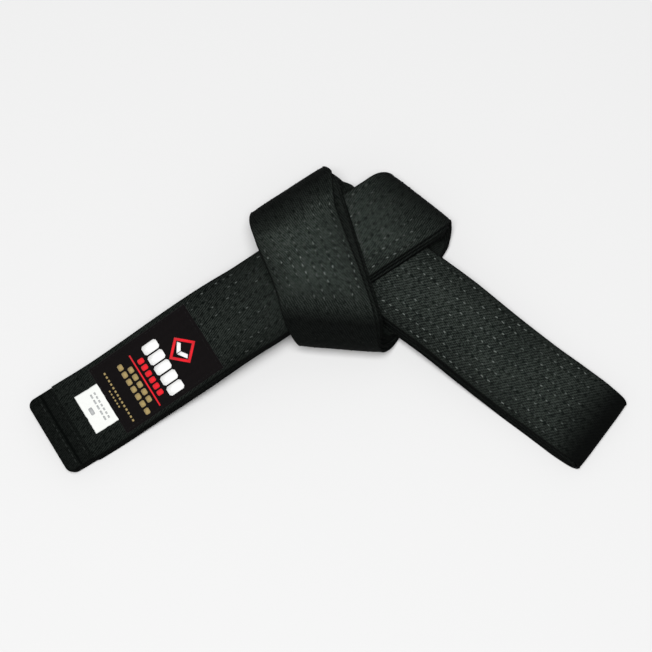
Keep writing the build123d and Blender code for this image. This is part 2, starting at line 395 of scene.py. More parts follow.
def new_piece(name, material, slot, *parts):
    """A smooth mesh object from parts, each its points in millimetres, faces, uv and attributes."""
    points = np.concatenate([part[0] for part in parts])
    faces = []
    first = 0
    for part in parts:
        faces += [[corner + first for corner in face] for face in part[1]]
        first += len(part[0])
    mesh = bpy.data.meshes.new(name)
    mesh.from_pydata((points * METRES).tolist(), [], faces)
    build = bmesh.new()
    build.from_mesh(mesh)
    bmesh.ops.recalc_face_normals(build, faces=build.faces)
    build.to_mesh(mesh)
    build.free()
    mesh.polygons.foreach_set("use_smooth", [True] * len(mesh.polygons))
    corners = np.empty(len(mesh.loops), int)
    mesh.loops.foreach_get("vertex_index", corners)
    uv = np.concatenate([part[2] for part in parts])
    mesh.uv_layers.new(name="belt").data.foreach_set("uv", uv[corners].ravel())
    for key in parts[0][3]:
        attribute = mesh.attributes.new(key, "FLOAT", "POINT")
        values = np.concatenate([part[3][key] for part in parts])
        attribute.data.foreach_set("value", values.astype(np.float32))
    mesh.materials.append(material)
    piece = bpy.data.objects.new(name, mesh)
    bpy.context.scene.collection.objects.link(piece)
    return piece


def tube_faces(rings, size, caps=True):
    """Quads between closed rings, with a cap on each end if asked."""
    first = np.arange(rings - 1)[:, None] * size
    here = np.arange(size)[None, :]
    following = (here + 1) % size
    quads = np.stack(
        [first + here, first + following, first + size + following, first + size + here], axis=-1
    )
    faces = quads.reshape(-1, 4).tolist()
    if caps:
        faces.append(list(range(size))[::-1])
        faces.append(list(range((rings - 1) * size, rings * size)))
    return faces


def cross_section(columns_per_gap):
    """The closed outline of one layer: places across it, heights, and which face each is on.

    The faces are 1 for the outer one, -1 for the inner one and 0 for the rounded long edges.
    """
    half = layer_thickness / 2
    flat = half_width - half
    across, height, face = [], [], []
    for side, columns in ((1, columns_per_gap), (-1, plain_columns)):
        spacing = row_spacing / columns
        reach = int(flat / spacing)
        places = np.concatenate(([-flat], np.arange(-reach, reach + 1) * spacing, [flat]))
        across += list(places * side)
        height += [half * side] * len(places)
        face += [side] * len(places)
        for turn in np.linspace(0, pi, edge_columns + 2)[1:-1]:
            across.append(side * (flat + half * sin(turn)))
            height.append(side * half * cos(turn))
            face.append(0)
    return np.array(across), np.array(height), np.array(face)


def layer_mesh(stations, height, relief=stitch_relief, columns=relief_columns, layer=0, narrow=0.0,
               thin=1.0, slides=(0.0, 0.0), shade=0.0, swell=0.0, calm=0.0):
    """One padded layer of the belt along some stations, rounded at its long edges.

    Its outer face has as many columns in each gap between rows as columns says, and layer picks
    its small sideways waves. At each station, narrow pulls both edges in, slides move the minus
    and plus edges towards the plus side, thin scales its thickness, shade paints shade into its
    colour where the cloth folds away from the light, swell moves it outward, and calm flattens its
    relief.
    """
    across, level, face = cross_section(columns)
    narrow, thin, slide_minus, slide_plus, shade, swell, calm = (
        np.broadcast_to(value, len(stations.minus))[:, None]
        for value in (narrow, thin, *slides, shade, swell, calm)
    )
    run = between(stations.run_minus[:, None], stations.run_plus[:, None], across)
    slide = sideways(run, layer) + between(slide_minus, slide_plus, across)
    places = across * (1 - narrow / half_width) + slide
    detail, hole = relief(across + 0 * run, run)
    from_edge = half_width - np.abs(across)
    detail = detail * np.clip(from_edge / edge_roll, 0, 1) * (1 - calm) + edge_drop(across)
    lift = height + swell + (level + detail * face) * thin
    points = between(stations.minus[:, None], stations.plus[:, None], places[:, :, None])
    points = points + stations.out[:, None] * lift[:, :, None]
    # Painted shade on the rounded sides, and more towards the long edges, where the cloth turns from the
    # light
    rim = side_shade * np.clip((rim_width - from_edge) / rim_fade, 0, 1)
    shade_towards_edge = edge_shade * (np.abs(across) / half_width) ** edge_shade_power
    # For the material: painted shade in the stitch holes, real wear at the edges, and painted shade on
    # folds, sides and edges
    looks = {
        "stitch_recess_shade": np.where(face == 0, 0.0, hole),
        "edge_wear": (np.abs(across) / half_width) ** edge_wear_power + 0 * run,
        "shade": np.maximum(shade + 0 * run, np.maximum(rim, shade_towards_edge)),
    }
    uv = np.stack([across + 0 * run, run], axis=-1) / UV_UNIT
    rings, size = run.shape
    faces = tube_faces(rings, size, caps=False)
    # The caps have corners of their own, so that they don't bend the shading of the long faces
    count = rings * size
    ends = np.concatenate([np.arange(count), np.arange(size), np.arange(count - size, count)])
    faces.append(list(range(count, count + size))[::-1])
    faces.append(list(range(count + size, count + 2 * size)))
    looks = {key: values.ravel()[ends] for key, values in looks.items()}
    return points.reshape(-1, 3)[ends], faces, uv.reshape(-1, 2)[ends], looks


def interpolated(at, run, points):
    """Points along a line, at given runs."""
    return np.stack([np.interp(at, run, points[:, axis]) for axis in range(3)], axis=-1)


def unit(vectors):
    """Vectors brought to length one."""
    return vectors / np.linalg.norm(vectors, axis=1)[:, None]


def stitch_mesh(centres, along, out, lengths, width=0.5, thickness=0.32, painted_thread_shade=0.0):
    """Short rounded threads that rise from one hole and dive into the next.

    Its last argument paints shade onto each thread, where the cloth round it is shaded.
    """
    side = np.cross(out, along)
    # For each ring of a thread: its place along the stitch, its share of full size, and its height
    reach = np.array((-0.5, -0.36, 0.0, 0.36, 0.5))
    size = np.array((0.45, 0.9, 1.0, 0.9, 0.45))
    rise = np.array((-0.30, 0.02, 0.12, 0.02, -0.30))
    angles = np.arange(thread_ring_size) * 2 * pi / thread_ring_size
    ring_side = (np.cos(angles) * size[:, None] * width / 2)[None, :, :, None]
    ring_up = (np.sin(angles) * size[:, None] * thickness / 2)[None, :, :, None]
    spine = (
        centres[:, None]
        + along[:, None] * reach[:, None] * lengths[:, None, None]
        + out[:, None] * rise[:, None]
    )
    points = spine[:, :, None] + side[:, None, None] * ring_side + out[:, None, None] * ring_up
    each = tube_faces(len(reach), thread_ring_size)
    corners = len(reach) * thread_ring_size
    faces = [
        [corner + corners * index for corner in face] for index in range(len(centres)) for face in each
    ]
    tone = faintest_thread + (1 - faintest_thread) * random.random(len(centres)) ** thread_tone_bias
    # Painted shade darkens the threads that lie on shaded cloth
    tone = tone * (1 - painted_thread_shade) - thread_dimming * painted_thread_shade
    points = points.reshape(-1, 3)
    return points, faces, points[:, :2] / UV_UNIT, {"thread_tone": np.repeat(tone, corners)}


def row_stitches(stations, height, first_run=0.0, skip=(0.0, 0.0), slides=(0.0, 0.0), narrow=0.0,
                 swell=0.0, shade=0.0):
    """Stitches along every row, at a height out of the stations.

    They start at first_run and leave out the runs between the two that skip gives. Slides,
    narrow, swell and shade are the values of the layer that they lie on.
    """
    centres, alongs, outs, painted_thread_shade = [], [], [], []
    for row in range(-rows_each_side, rows_each_side + 1):
        across = row * row_spacing
        run = between(stations.run_minus, stations.run_plus, across)
        phase = row_phases[row + rows_each_side]
        first = np.ceil((max(run[0], first_run) - phase) / stitch_pitch)
        middles = np.arange(phase + (first + 0.5) * stitch_pitch, run[-1] - stitch_length, stitch_pitch)
        middles = middles[(middles < skip[0]) | (middles > skip[1])]
        slide = row_shift(row, run) + sideways(run, 0) + between(*slides, across)
        places = across * (1 - narrow / half_width) + slide
        lift = height + edge_drop(across) + swell + 0 * run
        line = between(stations.minus, stations.plus, places[:, None]) + stations.out * lift[:, None]
        before, centre, after = (interpolated(middles + shift, run, line) for shift in (-0.4, 0.0, 0.4))
        centres.append(centre)
        alongs.append(unit(after - before))
        outs.append(unit(interpolated(middles, run, stations.out)))
        # The painted shade of the cloth under each stitch
        painted_thread_shade.append(np.interp(middles, run, shade + 0 * run))
    centres, alongs, outs, painted_thread_shade = (np.concatenate(found) for found in (centres, alongs, outs, painted_thread_shade))
    count = len(centres)
    side = np.cross(outs, alongs)
    centres = centres - outs * random.uniform(*stitch_sink, count)[:, None]
    centres = centres + side * random.normal(0, stitch_stray, count)[:, None]
    alongs = unit(alongs + side * random.normal(0, stitch_tilt, count)[:, None])
    lengths = stitch_length * random.uniform(*stitch_length_shares, count)
    return stitch_mesh(centres, alongs, outs, lengths, painted_thread_shade=painted_thread_shade)


# --- Materials ---

sheen_roughness = 0.45
cloth_specular = 0.03

# The twill: its darkest and palest threads, the near black of painted shade, and how the weft crosses the
# ribs
dark_cotton = np.array((0.0040, 0.0062, 0.0052))
pale_cotton = np.array((0.0400, 0.0480, 0.0420))
painted_shade_colour = (0.0013, 0.0015, 0.0014, 1)
weft_turn = 68.0
weft_pitch_share = 0.72
rib_waver = 7.0


class Shading:
    """A material under construction, with short calls for its nodes."""

    def __init__(self, name, roughness, sheen=0.0):
        self.material = bpy.data.materials.new(name)
        self.material.use_nodes = True
        self.tree = self.material.node_tree
        self.shader = self.tree.nodes["Principled BSDF"]
        for key, value in (
            ("Roughness", roughness), ("Sheen Weight", sheen),
            ("Sheen Roughness", sheen_roughness), ("Specular IOR Level", cloth_specular),
        ):
            self.shader.inputs[key].default_value = value

    def node(self, kind, settings=None, **inputs):
        made = self.tree.nodes.new(kind)
        for key, value in (settings or {}).items():
            setattr(made, key, value)
        for key, value in inputs.items():
            self.feed(made.inputs[key.replace("_", " ")], value)
        return made

    def feed(self, socket, value):
        if isinstance(value, bpy.types.NodeSocket):
            self.tree.links.new(value, socket)
        else:
            socket.default_value = value

    def maths(self, operation, first, second=0.0):
        made = self.node("ShaderNodeMath", {"operation": operation})
        self.feed(made.inputs[0], first)
        self.feed(made.inputs[1], second)
        return made.outputs[0]

    def weighted(self, *terms, start=0.0):
        """A start value plus each value times its weight."""
        total = start
        for value, weight in terms:
            total = self.maths("ADD", total, self.maths("MULTIPLY", value, weight))
        return total

    def colour(self, amount, first, second):
        """Colours the cloth between two colours, by an amount."""
        self.feed(self.shader.inputs["Base Color"], self.mix(amount, first, second))

    def mix(self, amount, first, second):
        made = self.node("ShaderNodeMix", {"data_type": "RGBA"})
        self.feed(made.inputs["Factor"], amount)
        self.feed(made.inputs[6], first)
        self.feed(made.inputs[7], second)
        return made.outputs[2]

    def attribute(self, name):
        return self.node("ShaderNodeAttribute", {"attribute_name": name}).outputs["Fac"]

    def noise(self, scale, detail=3.0):
        place = self.node("ShaderNodeTexCoord").outputs["Object"]
        return self.node("ShaderNodeTexNoise", Scale=scale, Detail=detail, Vector=place).outputs["Fac"]

    def centred_noise(self, scale, detail=3.0):
        return self.maths("SUBTRACT", self.noise(scale, detail), 0.5)

    def clamped(self, value):
        return self.node("ShaderNodeClamp", Value=value).outputs[0]

    def belt_lines(self, angle, pitch, waver=0.0):
        """Waves from -1 to 1 over the cloth, that follow each other at an angle to its width.

        waver bends them with a soft noise, as real threads waver.
        """
        belt_map = self.node("ShaderNodeUVMap", {"uv_map": "belt"}).outputs["UV"]
        place = self.node("ShaderNodeSeparateXYZ", Vector=belt_map)
        turns = UV_UNIT * 2 * pi / pitch
        terms = [
            (place.outputs["X"], cos(radians(angle)) * turns),
            (place.outputs["Y"], -sin(radians(angle)) * turns),
        ]
        if waver:
            terms.append((self.noise(260.0, 2.0), waver))
        return self.maths("SINE", self.weighted(*terms))

    def bump(self, height, strength, distance):
        made = self.node("ShaderNodeBump", Height=height, Strength=strength, Distance=distance)
        self.feed(self.shader.inputs["Normal"], made.outputs["Normal"])


def twill_material(name, rib_angle, rib_pitch, rib_strength, tint):
    """Black cotton twill: diagonal ribs crossed by the weft and pale, worn-looking high spots, with painted
    shade in the stitch holes, hem grooves, folds and edges.
    """
    shading = Shading(name, roughness=0.9)
    ribs = shading.belt_lines(rib_angle, rib_pitch, rib_waver)
    weft = shading.belt_lines(rib_angle + weft_turn, rib_pitch * weft_pitch_share)
    fine = shading.centred_noise(1100.0, 4.0)
    weave = shading.weighted((ribs, 0.5 * rib_strength), (weft, 0.30))
    # Weave, noise and edge wear make the cloth paler in places; painted shade darkens the stitch holes and
    # hem grooves
    fade_and_recess_shade = shading.weighted(
        (weave, 0.95),
        (shading.centred_noise(60.0), 0.55),
        (fine, 2.6),
        (shading.attribute("edge_wear"), 0.05),
        (shading.attribute("stitch_recess_shade"), -1.5),
        start=0.46,
    )
    cloth = shading.mix(shading.clamped(fade_and_recess_shade), (*dark_cotton * tint, 1), (*pale_cotton * tint, 1))
    # Painted shade: the cloth goes towards near black where its shade attribute is high
    shading.colour(shading.attribute("shade"), cloth, painted_shade_colour)
    shading.bump(shading.weighted((fine, 0.6), start=weave), strength=0.8, distance=0.00025)
    return shading.material


def thread_material(name, faint, bright):
    """Twisted sewing thread, a little different in each stitch, and darker where shade is painted on it."""
    shading = Shading(name, roughness=0.7, sheen=0.03)
    shading.colour(shading.clamped(shading.attribute("thread_tone")), (*faint, 1), (*bright, 1))
    shading.bump(shading.noise(5200.0, 1.0), strength=0.5, distance=0.0001)
    return shading.material


def woven_material(name, colour, roughness, variation, weave_pitch):
    """Satin or damask weave in one colour, with fine cross ribs."""
    shading = Shading(name, roughness, sheen=0.1)
    warp = shading.belt_lines(0.0, weave_pitch)
    weft = shading.belt_lines(-90.0, weave_pitch * 0.8)
    weave = shading.weighted((warp, 0.35), (weft, 0.5))
    amount = shading.weighted((weave, 0.35), start=shading.noise(900.0, 2.0))
    shade = [channel * (1 - variation) for channel in colour]
    light = [min(1.0, channel * (1 + variation)) for channel in colour]
    shading.colour(shading.clamped(amount), (*shade, 1), (*light, 1))
    shading.bump(weave, strength=0.5, distance=0.00008)
    return shading.material


# Name, rib angle, rib pitch, rib strength and tint. The tints make lighter and darker copies of one twill:
# painted light and shade for how brightly each part is lit
twill, ribbed_twill, shaded_twill, hem_twill = (
    twill_material(*values) for values in (
        ("belt_twill", 23.0, 1.0, 1.0, 1.09),
        ("belt_ribbed_twill", -50.0, 1.3, 0.65, 0.78),
        ("belt_twill_darker", 23.0, 1.0, 0.9, 0.57),
        ("belt_hem_twill", 23.0, 0.86, 0.7, 0.32),
    )
)
# Name, and the colours of the faintest and the brightest thread
belt_thread, hem_thread, label_thread = (
    thread_material(*values) for values in (
        ("belt_thread", (0.0025, 0.0032, 0.0029), (0.135, 0.151, 0.141)),
        ("hem_thread", (0.004, 0.005, 0.0045), (0.016, 0.019, 0.017)),
        ("label_thread", (0.003, 0.003, 0.003), (0.009, 0.008, 0.008)),
    )
)
# Name, colour, roughness, how far the colour varies, and weave pitch
label_satin, red_weave, white_weave, gold_weave, tab_satin, tab_print = (
    woven_material(*values) for values in (
        ("label_satin", (0.0030, 0.0022, 0.0024), 0.62, 0.35, 0.45),
        ("label_red_weave", (0.62, 0.014, 0.022), 0.65, 0.12, 0.45),
        ("label_white_weave", (0.76, 0.76, 0.75), 0.7, 0.06, 0.45),
        ("label_gold_weave", (0.285, 0.215, 0.090), 0.6, 0.2, 0.45),
        ("tab_satin", (0.63, 0.64, 0.62), 0.6, 0.05, 0.5),
        ("tab_grey_weave", (0.36, 0.37, 0.37), 0.7, 0.06, 0.5),
    )
)


# --- The belt ---

# Joints between bodies: the bodies, the tail, and the two distances from the tail's root that
# bound each joint
left_root_joint = (("knot", "left_tail"), left_tail, root_blend)
right_root_joint = (("knot", "right_tail"), right_tail, root_blend)
flap_joint = (("left_tail", "label_end"), left_tail, (flap_start, flap_start + flap_blend_length))


def bends(piece, bodies, tail, distances):
    """Bakes a piece's place into its mesh."""
    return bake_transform(piece)


def middle_cut(band, other):
    """A cut square across a band, where its middle line crosses another band's."""
    return square_cut(meeting(band.point, band.angle, other.point, other.angle), band)


left_hidden_cut = middle_cut(rising_band, front_band)
right_hidden_cut = middle_cut(falling_band, rising_band)
left_root_cut = (left_root, left_tail.heading + 90)
right_root_cut = square_cut(right_root, falling_band)


def left_run(start_x, end_x, step):
    """Stations along the left tail towards the knot, outward up."""
    return tail_run(left_tail, steps_between(start_x, end_x, step), 1)


def left_leg(start_x, step):
    """Stations from a place on the left tail to the hidden middle of the rising band."""
    return joined(left_run(start_x, 0.0, step), flat_run(rising_band, left_root_cut, left_hidden_cut, step))


def right_leg(step):
    """Stations from the hidden middle of the falling band to the right tail's turns, outward down."""
    outer_turn_radius = 1.5 * layer_pitch
    turn_x = right_tail.length - outer_turn_radius - layer_thickness / 2
    band = flat_run(falling_band, right_hidden_cut, right_root_cut, step)
    return joined(band, tail_run(right_tail, steps_between(0.0, turn_x, step), -1))


def knot_route(step):
    """Stations through the knot, and the place of each: a whole number where each section starts.

    From 0, the sections are the rising band, right fold, back band, bottom fold, front band, top
    left fold and falling band.
    """
    bands = (rising_band, back_band, front_band, falling_band)
    folds = (right_fold, bottom_fold, top_left_fold)
    cuts = (left_hidden_cut, *[fold_cut(fold) for fold in folds], right_hidden_cut)
    sections = [flat_run(bands[0], cuts[0], cuts[1], step)]
    for fold, before, after, start, end in zip(folds, bands, bands[1:], cuts[1:], cuts[2:]):
        sections += [fold_run(fold, before, after, step), flat_run(after, start, end, step)]
    places = [np.linspace(index, index + 1, len(section[0])) for index, section in enumerate(sections)]
    places = np.concatenate([places[0]] + [place[1:] for place in places[1:]])
    return joined(*sections), places


# How far each layer slides towards the plus edge in the knot, as the tied layers fan out: places
# in the knot, and there the slide of the minus edge and of the plus edge
inner_places = (0, 1.5, 2, 3, 4, 5, 5.3, 5.5, 6, 6.4, 7)
layer_slides = (
    ((0, 1, 1.5, 2, 4, 4.3, 4.6, 4.85, 5, 5.2, 5.5, 5.8, 6, 6.4, 7),
     (0, 0, -0.9, 0, 0, 0.4, 1.2, 1.6, -0.2, -2.9, -2.9, -2.9, -2.4, -1.6, 0),
     (0, 0, -0.9, 0, 0, 0.4, 1.2, 1.9, 2.0, 1.6, 1.4, 1.0, 0.5, 0.2, 0)),
    (inner_places,
     (-0.5, -1.2, 0, 0, -2.6, -2.8, -2.2, -1.8, -2.2, -1.6, 0),
     (-0.5, -1.2, 0, 0, -2.6, -2.6, -2.0, -1.6, -1.0, -0.5, 0)),
    (inner_places,
     (-0.9, -1.7, 0, 0, -3.2, -3.5, -2.4, -1.8, -2.6, -1.9, 0),
     (-0.9, -1.7, 0, 0, -3.2, -3.3, -2.2, -1.9, -1.5, -0.8, 0)),
    (inner_places,
     (-1.2, -2.2, 0, 0, -3.6, -4.2, -2.6, -1.8, -2.9, -2.2, 0),
     (-1.2, -2.2, 0, 0, -3.6, -4.1, -2.4, -2.2, -2.0, -1.0, 0)),
)
# Painted shade on the outer layer's cloth at places in the knot: darkest in the folds, which turn from the
# light
fold_shades = (
    (0, 0.0), (0.45, 0.0), (0.75, 0.2), (1, 0.55), (1.3, 0.85), (1.5, 0.82), (2, 0.4), (3, 0.4),
    (3.5, 0.86), (3.8, 0.93), (3.87, 0.78), (3.95, 0.55), (4, 0.42), (4.12, 0.18), (4.3, 0.0),
    (4.7, 0.0), (4.85, 0.15), (4.93, 0.4), (5, 0.68), (5.2, 0.88), (5.5, 0.85), (6, 0.45), (7, 0.2),
)
# Round corners and outward swelling of the folds, which are the sections 1, 3 and 5
corner_rounding = {1: 3.0, 3: 2.2, 5: 3.0}
fold_swell = {1: 0.6, 3: 1.9, 5: 1.1}
fold_calm = 0.85
# The inside layers are rounder at the corners, and darker with painted shade, as they lie between the
# others
inner_rounding = 1.5
inner_shade = 0.75
# Painted shade on the tails: towards their ends, along the rest of them, and between their layers
left_end_shade = 0.5
left_stub_shade = 0.3
left_stitch_shade = 0.4
right_end_shade = 0.85
right_tail_shade = 0.12
inner_loop_shade = 0.85


def knot_form(places, layer):
    """How a layer lies at places in the knot, and the shade painted on it there, as values for layer_mesh
    and row_stitches.
    """
    turned = np.sin(pi * (places % 1))
    rounding, swell = (
        sum(np.where(np.floor(places) == fold, amount, 0.0) for fold, amount in amounts.items())
        for amounts in (corner_rounding, fold_swell)
    )
    # Painted shade from the table, and deeper on the inside layers
    shade = np.interp(places, *zip(*fold_shades))
    if layer:
        rounding = rounding * inner_rounding
        shade = np.maximum(shade, inner_shade)
    at, minus, plus = layer_slides[layer]
    return {
        "narrow": rounding * turned ** 4,
        "swell": swell * turned ** 2,
        "slides": (np.interp(places, at, minus), np.interp(places, at, plus)),
        "shade": shade,
    }


def knot_layer(stations, places, layer):
    """One layer through the knot, with round corners at its folds and little relief in them."""
    in_fold = np.floor(places) % 2
    return layer_mesh(
        stations, layer_heights[layer], columns=plain_columns if layer else relief_columns,
        layer=layer, calm=fold_calm * in_fold * np.sin(pi * (places % 1)), **knot_form(places, layer),
    )


def round_corner(from_end):
    """How far the long edges are pulled in by round corners, at distances from the end."""
    into_corner = np.clip(hem_corner - from_end, 0, hem_corner)
    return hem_corner - np.sqrt(hem_corner ** 2 - into_corner ** 2 + 0.01)


def hem_part(layer):
    """The doubled, sewn end of one layer of the left tail, rounded at its corners."""
    rounded_part = np.linspace(0, hem_lip, 7) ** 2
    flat_part = np.arange(1.25, hem_length, 0.3)
    from_end = np.concatenate((rounded_part, flat_part, [hem_length - 0.05]))
    thin = np.sqrt(np.clip(1 - (1 - np.minimum(from_end, hem_lip)) ** 2, 0.06, 1))
    return layer_mesh(
        joined(tail_run(left_tail, left_tail.length - from_end, 1)), layer_heights[layer],
        relief=hem_relief, layer=layer, narrow=hem_inset + round_corner(from_end), thin=thin,
        shade=left_end_shade,
    )


# The knot: its outer layer shows, and the three inside it show at their edges
knot_sections = (
    "front_band", "back_band", "rising_band", "falling_band", "right_fold", "bottom_fold", "top_left_fold"
)
knot_stack, knot_places = knot_route(fine_step)
knot_outer = new_piece(
    "knot_outer_layer", twill, "belt_twill", knot_layer(knot_stack, knot_places, 0)
)
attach(knot_outer, "knot")
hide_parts(*[f"{section}_cover" for section in knot_sections])
knot_inner = new_piece(
    "knot_inner_layers", twill, "belt_twill",
    *[knot_layer(*knot_route(inner_step), layer) for layer in (1, 2, 3)],
)
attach(knot_inner, "knot")
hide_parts(*[f"{section}_core" for section in knot_sections])
knot_stitches = new_piece(
    "knot_stitches", belt_thread, "belt_thread",
    row_stitches(knot_stack, half_stack, **knot_form(knot_places, 0)),
)
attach(knot_stitches, "knot")
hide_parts("front_band_stitching", "rising_band_stitching")

# The labelled free end, which is the top layer of the left tail
hem_x = left_tail.length - hem_length
label_end_x = steps_between(left_tail.length, flap_start, fine_step)
label_end_run = joined(tail_run(left_tail, label_end_x, 1))
stub_run = joined(
    left_run(flap_start, 0.0, fine_step),
    flat_run(rising_band, left_root_cut, left_hidden_cut, fine_step),
    start=(label_end_run.run_minus[-1], label_end_run.run_plus[-1]),
)
strap_run = joined(left_run(hem_x, flap_start, fine_step), start=(hem_length, hem_length))
# Painted shade, deeper towards the end of the tail
strap_shade = left_end_shade * near(strap_run.run_minus, 10, 85)
label_end_strap = new_piece(
    "label_end_strap", shaded_twill, "belt_twill",
    layer_mesh(strap_run, layer_heights[0], shade=strap_shade),
)
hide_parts("label_end_core", "label_end_cover")
bends(label_end_strap, *flap_joint)
label_hem = new_piece("label_end_hem_cloth", hem_twill, "belt_twill", hem_part(0))
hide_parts("label_end_hem")
bends(label_hem, *flap_joint)

label_runs = np.interp(
    (label_to_end, label_to_end + label_length), left_tail.length - label_end_x, label_end_run.run_minus
)
label_end_stitches = new_piece(
    "label_end_stitches", belt_thread, "belt_thread",
    row_stitches(
        strap_run, half_stack, first_run=hem_length + 1.0,
        skip=(label_runs[0] - 1.0, label_runs[1] + 1.0), shade=left_stitch_shade + strap_shade,
    ),
)
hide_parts("label_end_stitching")
bends(label_end_stitches, *flap_joint)

# The rest of the left tail: the stub of the top layer, the plain end, and the turned layers
left_turn_x = left_tail.length - layer_pitch / 2 - layer_thickness / 2
leg = joined(reversed_run(left_leg(left_turn_x, leg_step)))
left_loop = looped(leg, layer_heights[2], layer_heights[3], heading(left_tail.heading))
from_left_turn = np.abs(left_loop.run_minus - left_loop.run_minus[-1] / 2)
left_narrow = hem_inset * near(from_left_turn, hem_length, 2) + round_corner(from_left_turn - 0.6)
# Painted shade, deeper towards the loop's turned end
loop_shade = left_end_shade * near(from_left_turn, 10, 60)
left_layers = new_piece(
    "left_tail_layers", shaded_twill, "belt_twill",
    layer_mesh(stub_run, layer_heights[0]),
    layer_mesh(left_leg(hem_x, coarse_step), layer_heights[1], columns=plain_columns, layer=1),
    layer_mesh(left_loop, 0.0, layer=2, narrow=left_narrow, shade=loop_shade),
)
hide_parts("left_tail_core", "left_tail_cover", "left_turn_core", "left_turn_cover")
bends(left_layers, *left_root_joint)
plain_hem = new_piece("plain_end_hem_cloth", hem_twill, "belt_twill", hem_part(1))
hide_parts("plain_end_hem")
bends(plain_hem, *left_root_joint)
left_stitches = new_piece(
    "left_tail_stitches", belt_thread, "belt_thread",
    row_stitches(stub_run, half_stack, shade=left_stub_shade),
    row_stitches(left_loop, layer_thickness / 2, first_run=leg.run_minus[-1] + 3.0),
)
bends(left_stitches, *left_root_joint)

# The right tail: two loops, one inside the other, whose lower layers lie out towards the front
right_outward = heading(right_tail.heading)
right_loop = looped(right_leg(fine_step), layer_heights[3], layer_heights[0], right_outward)
right_turn = right_loop.run_minus[-1] / 2
from_turn = np.abs(right_loop.run_minus - right_turn)
right_slide = right_fan * near(right_turn - right_loop.run_minus, -8, 16)
# Painted shade, deepest at the turned end and faint along the rest
right_shade = right_end_shade * near(from_turn, 4, 26) + right_tail_shade * near(from_turn, 0, 90)
right_outer = new_piece(
    "right_tail_outer_loop", ribbed_twill, "belt_twill",
    layer_mesh(
        right_loop, 0.0, layer=3, slides=(right_slide, right_slide), shade=right_shade,
        narrow=near(from_turn, 0, 18), calm=near(from_turn, 5, 8),
    ),
)
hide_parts("right_tail_cover", "outer_turn_cover", "right_tail_core", "outer_turn_core")
bends(right_outer, *right_root_joint)
inner_loop = looped(right_leg(coarse_step), layer_heights[2], layer_heights[1], right_outward)
inner_slide = right_fan * np.linspace(0.35, 0.75, len(inner_loop.minus))
right_inner = new_piece(
    "right_tail_inner_loop", twill, "belt_twill",
    layer_mesh(
        inner_loop, 0.0, columns=plain_columns, layer=1, slides=(inner_slide, inner_slide),
        shade=inner_loop_shade,
    ),
)
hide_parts("inner_turn_cover", "inner_turn_core")
bends(right_inner, *right_root_joint)
right_stitches = new_piece(
    "right_tail_stitches", belt_thread, "belt_thread",
    row_stitches(
        right_loop, layer_thickness / 2, slides=(right_slide, right_slide), shade=right_shade,
        skip=(right_turn - right_turn_bare, right_turn + right_turn_bare),
    ),
)
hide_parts("right_tail_stitching")
bends(right_stitches, *right_root_joint)


# --- Label and tab ---

label_start = left_tail.length - label_to_end - label_length
label_stop = label_start + label_length
label_top = 0.50
label_bottom = -0.35
label_art_top = label_top + 0.16
label_stitch_inset = 1.4
label_stitch_pitch = 2.4
label_stitch_length = 0.62 * label_stitch_pitch
label_stitch_rise = 0.02
tab_top = 0.38
tab_bottom = -0.30
tab_art_top = 0.50
tab_tuck = 0.4
border_roll = 0.8
border_drop = 0.28
mark_thickness = 0.5
corner_clip = 0.18

# Rows of bars that stand for print. Each has its start and end across the belt, its start and
# end from the edge of the label or tab that is nearer the knot, its number of bars, and their gap.
white_rows = ((-16.2, 13.0, 20.6, 29.0, 5, 0.9),)
red_rows = ((-12.6, 8.6, 30.7, 33.9, 6, 1.0), (-16.8, 13.0, 35.3, 36.0, 1, 0.0))
gold_rows = (
    (-12.4, 8.0, 37.4, 40.0, 5, 1.1),
    (-17.0, 12.0, 41.2, 43.8, 7, 1.1),
    (-15.8, 13.0, 50.2, 51.2, 14, 0.9),
    (-6.0, 4.0, 52.8, 53.6, 6, 0.8),
)
tab_rows = ((-7.5, 7.5, 3.0, 4.0, 7, 0.8), (-7.5, 7.5, 5.2, 6.2, 5, 0.8), (-2.0, 2.0, 8.6, 10.8, 1, 0.8))
# The diamond, and the outline of one of the two flashes inside it, as (across, from that edge)
diamond_middle = 12.4
diamond_radius = 7.6
diamond_width = 1.9
flash = ((0.2, 15.6), (5.0, 12.4), (3.4, 11.2), (0.2, 13.2))


def on_left_tail(across, x, height):
    """Points over the left tail's top, at places across it and distances from its root."""
    minus, plus, out = tail_run(left_tail, np.ravel(x), 1)
    points = between(minus, plus, np.ravel(across)[:, None])
    return points + out * (half_stack + np.ravel(height))[:, None]


def two_sided(across, x, top, bottom):
    """Points and uv of a thin shape on the left tail: its upper face, then its lower one."""
    points = np.concatenate([on_left_tail(across, x, height) for height in (top, bottom)])
    return points, np.stack([np.tile(np.ravel(across), 2), np.tile(np.ravel(x), 2)], axis=-1) / UV_UNIT


def cloth_patch(half_across, x_start, x_end, top, bottom, spacing, relief):
    """A rectangle of thin cloth on the left tail, rolled down at its border."""
    across_line = steps_between(-half_across, half_across, spacing)
    x_line = steps_between(x_start, x_end, spacing)
    across, x = np.meshgrid(across_line, x_line)
    to_border = np.minimum(half_across - np.abs(across), np.minimum(x - x_start, x_end - x))
    rolled = border_drop * np.clip(1 - to_border / border_roll, 0, 1) ** 2
    points, uv = two_sided(across, x, top + relief(across, x) - rolled, bottom)
    wide, long = len(across_line), len(x_line)
    index = np.arange(wide * long).reshape(long, wide)
    quads = np.stack([index[:-1, :-1], index[:-1, 1:], index[1:, 1:], index[1:, :-1]], axis=-1)
    quads = quads.reshape(-1, 4)
    border = np.concatenate([index[0, :-1], index[:-1, -1], index[-1, :0:-1], index[:0:-1, 0]])
    following = np.roll(border, -1)
    under = wide * long
    rim = np.stack([border, following, following + under, border + under], axis=-1)
    return points, quads.tolist() + (quads[:, ::-1] + under).tolist() + rim.tolist(), uv, {}


